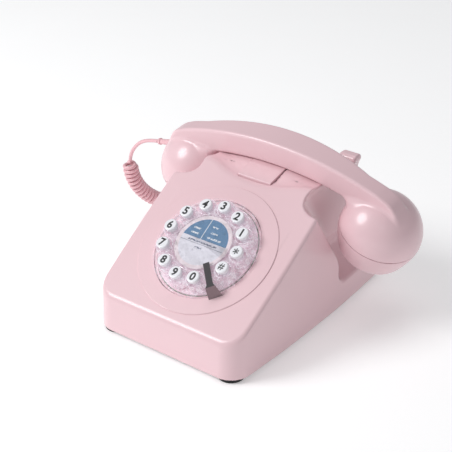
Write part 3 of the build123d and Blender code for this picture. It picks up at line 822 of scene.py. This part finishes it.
# ---- case
@dataclass
class CaseShell:
    """Hollow moulded case with soft edges, cradle horns, rear ears and a scoop for each cap."""

    depth: float = 208.0
    foot: float = 3.3
    half_front: float = 66.5
    half_middle: float = 70.0
    half_rear: float = 64.5
    middle_y: float = 78.0
    plan_corner: float = 16.0
    draft: float = 1.8
    wall: float = 2.5
    tip_y: float = 116.0
    horn_top: float = 21.0
    horn_fall: float = 12.0
    horn_back: float = 9.0
    valley: float = 14.0
    ear_y: float = 176.0
    ear_length: float = 9.0
    ear_rise: float = 4.5
    ear_run: float = 8.0
    dip_ear_gap: float = 4.0
    ear_in: float = 35.0
    ear_out: float = 50.0
    lip_drop: float = 11.0
    scoop_radius: float = 50.0
    scoop_x: float = 85.0
    scoop_z: float = 71.3
    neck_radius: float = 21.5
    neck_x: float = 66.5
    neck_up: float = 139.0
    step_y: float = 131.5
    step_z: float = 48.0
    dip_radius: float = 140.0
    dip_up: float = 128.0
    dip_fall: float = 8.0
    saddle_foot: float = 116.0
    saddle_top: float = 128.0
    saddle_rear: float = 140.0
    saddle_run: float = 6.0
    saddle_gap: float = 1.0
    handle_peak: tuple[float, float] = (126.7, 127.9)
    handle_radius: float = 279.0
    handle_height: float = 20.4
    handle_pitch: float = 8.0
    seat_radius: float = 58.7
    seat_depth: float = 4.3
    hole_radius: float = 47.0
    hook_slot: tuple[float, ...] = (0.0, 15.3, 124.5, 12.3, 80.0)
    socket_slot: tuple[float, ...] = (22.0, 7.8, 16.0, 6.3, 195.0)
    edge: float = 2.8
    cell: float = 1.35

    def __post_init__(self) -> None:
        """Work out the bowed side's circle and the main heights."""
        (x1, y1), (x2, y2), (x3, y3) = ((self.half_front, 0.0), (self.half_middle, self.middle_y),
                                        (self.half_rear, self.depth))
        lines = np.array([[x2 - x1, y2 - y1], [x3 - x1, y3 - y1]]) * 2
        sums = [x2 ** 2 + y2 ** 2 - x1 ** 2 - y1 ** 2, x3 ** 2 + y3 ** 2 - x1 ** 2 - y1 ** 2]
        self.bow = np.linalg.solve(lines, sums)
        self.bow_radius = math.hypot(x1 - self.bow[0], y1 - self.bow[1])
        self.tip_z = Face.nose_top + self.tip_y * math.tan(Face.slope)

    @staticmethod
    def half_plane(y: np.ndarray, z: np.ndarray, a: tuple[float, float],
                   b: tuple[float, float]) -> np.ndarray:
        """Signed distance from the line a to b in the side view, positive on its left."""
        dy, dz = b[0] - a[0], b[1] - a[1]
        size = math.hypot(dy, dz)
        return ((z - a[1]) * dy - (y - a[0]) * dz) / size

    def outline(self, p: np.ndarray, bottom: bool) -> np.ndarray:
        """Signed distance to the solid case.

        Args:
            p: points in working millimetres.
            bottom: whether it ends at the lower edge.

        Returns:
            Distances, negative inside.
        """
        x, y, z = np.abs(p[:, 0]), p[:, 1], p[:, 2]
        draft = math.radians(self.draft)
        side = np.hypot(x - self.bow[0], y - self.bow[1]) - self.bow_radius
        plan = both(both(side, -y, self.plan_corner), y - self.depth, self.plan_corner)
        plan = (plan + (z - self.foot) * math.tan(draft)) * math.cos(draft)
        c, s = math.cos(Face.slope), math.sin(Face.slope)
        face = (z - Face.nose_top) * c - y * s
        body = both(plan, face, self.edge)
        end_y = self.tip_y + self.horn_top
        end_z = self.tip_z - self.horn_top * math.tan(math.radians(self.horn_fall))
        floor_z, ear_z = self.tip_z - self.valley, self.tip_z + self.ear_rise
        top = self.half_plane(y, z, (self.tip_y, self.tip_z), (end_y, end_z))
        back = self.half_plane(y, z, (end_y, end_z), (end_y + self.horn_back, floor_z))
        ear_foot = (self.ear_y - self.ear_run, floor_z - 1)
        floor = self.half_plane(y, z, (end_y + self.horn_back, floor_z), ear_foot)
        ear = self.half_plane(y, z, ear_foot, (self.ear_y, ear_z))
        notch = either(either(both(top, back, 2.5), floor, 6.0), ear, 6.0)
        body = both(body, notch, self.edge)
        rear = self.half_plane(y, z, (self.ear_y + self.ear_length, ear_z), (self.depth, self.foot))
        body = both(body, both(rear, z - ear_z, 2.5), 2.5)
        fall = math.radians(self.dip_fall)
        start_y, start_z = self.dip_up * c, Face.nose_top + self.dip_up * s
        off = (y - start_y) * math.sin(fall) + (z - start_z) * math.cos(fall) - self.dip_radius
        dip_end = self.ear_y - self.ear_run - self.dip_ear_gap - y
        body = both(body, either(self.dip_radius - np.hypot(x, off), dip_end, 3.0), 2.2)
        gap = both(both(x - self.ear_in, self.tip_z - self.lip_drop - z, 3.0), 130 - y, 3.0)
        body = both(body, -gap, 2.2)
        foot_z = start_z - (self.saddle_foot - start_y) * math.tan(fall)
        body = either(body, self.saddle(x, y, z, foot_z), 4.0)
        body = both(body, -self.scoop(x, y, z), 2.2)
        return both(body, self.foot - z, 0.8) if bottom else body

    def saddle(self, x: np.ndarray, y: np.ndarray, z: np.ndarray, foot_z: float) -> np.ndarray:
        """Signed distance to the rise that the handle lies over, from its foot in the hand recess."""
        pitch = math.radians(self.handle_pitch)
        c, s = math.cos(pitch), math.sin(pitch)
        peak_y, peak_z = self.handle_peak
        run = self.saddle_top - peak_y - self.handle_height * s
        under_z = peak_z - self.handle_height * c + run * math.tan(pitch)
        top_z, rear_z = under_z - self.saddle_gap, self.tip_z - self.valley
        centre_y, centre_z = peak_y + self.handle_radius * s, peak_z - self.handle_radius * c
        lift = (z - centre_z) * c - (y - centre_y) * s
        under = np.hypot(x, lift) - (self.handle_radius - self.handle_height - self.saddle_gap)
        front = self.half_plane(y, z, (self.saddle_foot, foot_z), (self.saddle_top, top_z))
        rear = self.half_plane(y, z, (self.saddle_rear, top_z), (self.saddle_rear + self.saddle_run, rear_z))
        ramp = both(both(front, under, 3.0), rear, 2.5)
        return np.maximum(np.maximum(ramp, x - self.ear_out), foot_z - 20 - z)

    def scoop(self, x: np.ndarray, y: np.ndarray, z: np.ndarray) -> np.ndarray:
        """Signed distance to the space for one cap, on the side where x is positive."""
        c, s = math.cos(Face.slope), math.sin(Face.slope)
        trough = np.hypot(x - self.scoop_x, z - self.scoop_z) - self.scoop_radius
        above = np.maximum(self.ear_out - x, self.scoop_z - z)
        up = y * c + (z - Face.nose_top) * s
        radius = self.neck_radius
        wall = both(self.neck_x - radius - x, self.neck_up - radius - up, radius)
        low = np.maximum(self.step_y - y, z - self.step_z)
        return both(np.minimum(trough, above), either(wall, low, 4.0), 9.0)

    def shell(self, p: np.ndarray) -> np.ndarray:
        """Signed distance to the hollow case with its openings."""
        core = self.outline(p, False)
        dial = Face.dial_local(p)
        rho, off = np.hypot(dial[:, 0], dial[:, 1]), dial[:, 2]
        seat = np.maximum(rho - self.seat_radius, -self.seat_depth - off)
        hollow = np.maximum(core + self.wall, -seat)
        shell = both(both(core, self.foot - p[:, 2], 0.8), -hollow, 0.4)
        shell = both(shell, self.hole_radius - rho, 0.5)
        shell = both(shell, -self.slot(p, self.hook_slot, (0, 1, 2)), 0.5)
        return both(shell, -self.slot(p, self.socket_slot, (0, 2, 1)), 0.3)

    @staticmethod
    def slot(p: np.ndarray, sizes: tuple[float, ...], order: tuple[int, int, int]) -> np.ndarray:
        """Signed distance to a square slot that is open at its far end.

        Args:
            p: points in working millimetres.
            sizes: middle and half width along its two sides, and where it starts.
            order: the axes of its two sides and of its depth.

        Returns:
            Distances, negative inside.
        """
        mid_a, half_a, mid_b, half_b, start = sizes
        first, second, deep = order
        sides = np.maximum(np.abs(p[:, first] - mid_a) - half_a, np.abs(p[:, second] - mid_b) - half_b)
        return np.maximum(sides, start - p[:, deep])

    def build(self, paints: Paintbox) -> None:
        """Make the case piece."""
        piece = skin("case_moulding", self.shell, (-73, -3, 0), (73, self.depth + 3, self.tip_z + 12),
                     self.cell)
        paints.dress(piece, Finish.PINK)
        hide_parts("case_shell")
        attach(piece, "base")
        log.info("case_moulding: %d faces", len(piece.data.polygons))


# ---- handset
@dataclass
class Handset:
    """Arched handle with a dome at each end, lying in the cradle a little to the right."""

    arc_radius: float = 279.0
    top_width: float = 25.0
    low_width: float = 21.0
    low_y: float = 1.5
    height: float = 20.4
    bow: float = 5.6
    bow_end: float = 75.0
    top_y: float = 126.7
    top_z: float = 127.9
    pitch: float = 8.0
    slide: float = 8.0
    bulb: tuple[float, float, float] = (86.0, 12.5, -54.5)
    bulb_radius: float = 32.2
    tilt: float = 20.0
    shoulder: tuple[float, float] = (83.0, -38.0)
    shoulder_radius: float = 25.0
    edge: float = 2.4
    cell: float = 0.95

    def place(self, points: np.ndarray) -> np.ndarray:
        """The handset's own millimetres to working millimetres."""
        roll = self.slide / self.arc_radius
        matrix = (Matrix.Translation((0, self.top_y, self.top_z))
                  @ Matrix.Translation((0, 0, -self.arc_radius))
                  @ Matrix.Rotation(roll, 4, "Y") @ Matrix.Translation((0, 0, self.arc_radius))
                  @ Matrix.Rotation(math.radians(self.pitch), 4, "X"))
        matrix = np.array(matrix)
        return points @ matrix[:3, :3].T + matrix[:3, 3]

    def form(self, p: np.ndarray) -> np.ndarray:
        """Signed distance to the handle and its two domes."""
        x, y, z = np.abs(p[:, 0]), p[:, 1], p[:, 2]
        rise = np.hypot(x, z + self.arc_radius) - self.arc_radius
        share = -rise / self.height
        front = self.low_y * share - y
        back_y = self.top_width - (self.top_width - self.low_y - self.low_width) * share
        bowed = self.top_width - self.bow * (np.minimum(x, self.bow_end) / 60) ** 2
        back = y - np.minimum(back_y, bowed)
        section = both(both(np.maximum(front, back), rise, self.edge), -self.height - rise, self.edge)
        ends = either(x - self.shoulder[0], np.hypot(x - self.shoulder[0], z - self.shoulder[1])
                      - self.shoulder_radius, 12.0)
        handle = both(section, ends, self.edge)
        cx, cy, cz = self.bulb
        ball = np.sqrt((x - cx) ** 2 + (y - cy) ** 2 + (z - cz) ** 2) - self.bulb_radius
        throat = np.clip((-z - 14) / 14, 0, 1) * np.clip((80 - x) / 14, 0, 1)
        whole = either(handle, ball, 2.5 + 7.5 * throat)
        tilt = math.radians(self.tilt)
        seam = -((x - cx) * math.sin(tilt) + (z - cz) * math.cos(tilt))
        return both(whole, seam, 0.5)

    def build(self, paints: Paintbox) -> None:
        """Make the handset piece."""
        piece = skin("handset_moulding", self.form, (-122, -24, -72), (122, 50, 4), self.cell, self.place)
        paints.dress(piece, Finish.PINK)
        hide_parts("handset_shell")
        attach(piece, "handset")
        log.info("handset_moulding: %d faces", len(piece.data.polygons))


# ---- dial
@dataclass
class Dial:
    """Signs on the ring of twelve buttons, the crystal collars under them and the label."""

    ring_radius: float = 31.2
    first_angle: float = 30.4
    step_angle: float = 28.97
    key_top: float = 13.5
    digit_height: float = 6.6
    label_radius: float = 22.8
    label_height: float = 9.5
    label_thickness: float = 0.35
    collar_radius: float = 6.4
    collar_depth: float = 8.2
    collar_rise: float = 0.9
    collar_facets: int = 14
    star_height: float = 5.0
    hash_height: float = 5.4
    ink_half: float = 0.05
    names: tuple[str, ...] = ("hash", "star", "1", "2", "3", "4", "5", "6", "7", "8", "9", "0")
    signs: dict[str, str] = field(default_factory=lambda: {"hash": "#", "star": "*"})

    def key_centre(self, number: int) -> tuple[float, float]:
        """Place of a button across and up the dial."""
        angle = math.radians(self.first_angle + self.step_angle * (number - 2))
        return self.ring_radius * math.cos(angle), self.ring_radius * math.sin(angle)

    def digit(self, name: str, number: int, ink: bpy.types.Material) -> None:
        """Print one button's sign on its cap.

        Args:
            name: the button's name.
            number: its place in the ring.
            ink: the print's material.
        """
        text = bpy.data.curves.new("sign_" + name, "FONT")
        text.body = self.signs.get(name, name)
        text.extrude = 0.004
        text.offset = 0.03 if name.isdigit() else 0.012
        text.resolution_u = 4
        holder = bpy.data.objects.new("sign_" + name, text)
        bpy.context.scene.collection.objects.link(holder)
        bpy.context.view_layer.update()
        mesh = bpy.data.meshes.new_from_object(holder.evaluated_get(bpy.context.evaluated_depsgraph_get()))
        bpy.data.objects.remove(holder)
        points = np.array([v.co for v in mesh.vertices])
        low, high = points.min(0), points.max(0)
        wanted = {"*": self.star_height, "#": self.hash_height}.get(text.body, self.digit_height)
        size = wanted / (high[1] - low[1])
        local = (points - (low + high) / 2) * size
        x, y = self.key_centre(number)
        local[:, 2] = self.key_top + np.where(points[:, 2] > 0, self.ink_half, -self.ink_half)
        local[:, 0] += x
        local[:, 1] += y
        faces = [tuple(f.vertices) for f in mesh.polygons]
        piece = add_mesh("sign_" + name, to_row(Face.dial_point(local)), faces, smooth=False)
        bpy.data.meshes.remove(mesh)
        dress(piece, ink)
        Finish.BLACK.slot
        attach(piece, "key_" + name)

    def collars(self, paints: Paintbox) -> None:
        """Faceted collars round the buttons' wells, repeated round the ring."""
        tree = bpy.data.node_groups.new("collar_ring", "GeometryNodeTree")
        for label, kind in (("Ring Radius", "NodeSocketFloat"), ("Count", "NodeSocketInt"),
                            ("First Angle", "NodeSocketFloat"), ("Step Angle", "NodeSocketFloat"),
                            ("Collar Radius", "NodeSocketFloat"), ("Collar Depth", "NodeSocketFloat"),
                            ("Facets", "NodeSocketInt"), ("Finish", "NodeSocketMaterial")):
            tree.interface.new_socket(name=label, in_out="INPUT", socket_type=kind)
        tree.interface.new_socket(name="Geometry", in_out="OUTPUT", socket_type="NodeSocketGeometry")
        nodes, links = tree.nodes, tree.links
        source, sink = nodes.new("NodeGroupInput"), nodes.new("NodeGroupOutput")

        def maths(operation: str, first: Any, second: Any) -> bpy.types.NodeSocket:
            node = nodes.new("ShaderNodeMath")
            node.operation = operation
            for place, value in ((0, first), (1, second)):
                if isinstance(value, bpy.types.NodeSocket):
                    links.new(value, node.inputs[place])
                else:
                    node.inputs[place].default_value = value
            return node.outputs[0]

        spots = nodes.new("GeometryNodePoints")
        links.new(source.outputs["Count"], spots.inputs["Count"])
        index = nodes.new("GeometryNodeInputIndex").outputs[0]
        angle = maths("ADD", source.outputs["First Angle"],
                      maths("MULTIPLY", source.outputs["Step Angle"], index))
        place = nodes.new("ShaderNodeCombineXYZ")
        for slot, wave in enumerate(("COSINE", "SINE")):
            reach = maths("MULTIPLY", source.outputs["Ring Radius"], maths(wave, angle, 0.0))
            links.new(reach, place.inputs[slot])
        links.new(place.outputs[0], spots.inputs["Position"])
        outer = nodes.new("GeometryNodeMeshCone")
        outer.fill_type = "NONE"
        links.new(source.outputs["Facets"], outer.inputs["Vertices"])
        outer.inputs["Side Segments"].default_value = 3
        links.new(source.outputs["Collar Radius"], outer.inputs["Radius Top"])
        links.new(maths("MULTIPLY", source.outputs["Collar Radius"], 1.12), outer.inputs["Radius Bottom"])
        links.new(source.outputs["Collar Depth"], outer.inputs["Depth"])
        thick = nodes.new("GeometryNodeExtrudeMesh")
        links.new(outer.outputs["Mesh"], thick.inputs["Mesh"])
        thick.inputs["Offset Scale"].default_value = 0.0006
        thick.inputs["Individual"].default_value = False
        turn = nodes.new("FunctionNodeAxisAngleToRotation")
        turn.inputs["Axis"].default_value = (0, 0, 1)
        links.new(angle, turn.inputs["Angle"])
        copies = nodes.new("GeometryNodeInstanceOnPoints")
        links.new(spots.outputs[0], copies.inputs["Points"])
        links.new(thick.outputs["Mesh"], copies.inputs["Instance"])
        links.new(turn.outputs[0], copies.inputs["Rotation"])
        real = nodes.new("GeometryNodeRealizeInstances")
        links.new(copies.outputs[0], real.inputs[0])
        paint = nodes.new("GeometryNodeSetMaterial")
        links.new(real.outputs[0], paint.inputs["Geometry"])
        links.new(source.outputs["Finish"], paint.inputs["Material"])
        links.new(paint.outputs[0], sink.inputs[0])

        piece = add_mesh("crystal_collars", np.zeros((1, 3)), [])
        modifier = piece.modifiers.new("ring", "NODES")
        modifier.node_group = tree
        values = {"Ring Radius": self.ring_radius * MM, "Count": len(self.names),
                  "First Angle": math.radians(self.first_angle - 2 * self.step_angle),
                  "Step Angle": math.radians(self.step_angle), "Collar Radius": self.collar_radius * MM,
                  "Collar Depth": self.collar_depth * MM, "Facets": self.collar_facets,
                  "Finish": paints.materials[Finish.COLLAR]}
        for item in tree.interface.items_tree:
            if item.in_out == "INPUT":
                modifier[item.identifier] = values[item.name]
        settle(piece)
        points = np.array([v.co for v in piece.data.vertices]) / MM
        points[:, 2] += self.collar_rise
        row = to_row(Face.dial_point(points))
        piece.data.vertices.foreach_set("co", row.ravel())
        piece.data.polygons.foreach_set("use_smooth", [False] * len(piece.data.polygons))
        piece.data.update()
        Finish.WHITE.slot
        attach(piece, "base")
        log.info("crystal_collars: %d faces", len(piece.data.polygons))

    def label(self, paints: Paintbox) -> None:
        """Printed card with its own map."""
        rings, around = 10, 96
        points = [(0.0, 0.0)]
        for ring in range(1, rings + 1):
            radius = self.label_radius * ring / rings
            for i in range(around):
                a = 2 * math.pi * i / around
                points.append((radius * math.cos(a), radius * math.sin(a)))
        faces: list[tuple[int, ...]] = [(0, 1 + i, 1 + (i + 1) % around) for i in range(around)]
        for ring in range(1, rings):
            a, b = 1 + (ring - 1) * around, 1 + ring * around
            faces += [(a + i, b + i, b + (i + 1) % around, a + (i + 1) % around) for i in range(around)]
        top = np.array([(x, y, self.label_height) for x, y in points])
        low = top - (0, 0, self.label_thickness)
        count = len(top)
        rim = count - around
        faces += [tuple(count + v for v in reversed(f)) for f in faces]
        faces += [(rim + i, count + rim + i, count + rim + (i + 1) % around, rim + (i + 1) % around)
                  for i in range(around)]
        local = np.concatenate([top, low])
        piece = add_mesh("label_print", to_row(Face.dial_point(local)), faces, smooth=False)
        layer = piece.data.uv_layers.new(name="dial_map")
        for loop in piece.data.loops:
            x, y = local[loop.vertex_index, :2] / PrintedLabel.map_size + 0.5
            layer.data[loop.index].uv = (x, y)
        paints.dress(piece, Finish.LABEL)
        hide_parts("label_card")
        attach(piece, "base")

    def build(self, paints: Paintbox) -> None:
        """Make the dial's pieces."""
        ink = SatinPlastic("black_ink", (0.012, 0.012, 0.014), roughness=0.4, coat=0.0).build()
        for number, name in enumerate(self.names):
            self.digit(name, number, ink)
        self.collars(paints)
        self.label(paints)
        log.info("dial: %d signs", len(self.names))


def main() -> None:
    """Build the telephone, piece by piece."""
    logging.basicConfig(level=logging.INFO, format="%(name)s %(message)s")
    studio = Studio()
    studio.camera()
    paints = Paintbox()
    CurlyCord().build(paints)
    studio.lights()
    studio.floor()
    paints.dress_nodes()
    CaseShell().build(paints)
    Handset().build(paints)
    Dial().build(paints)


if __name__ == "__main__":
    main()
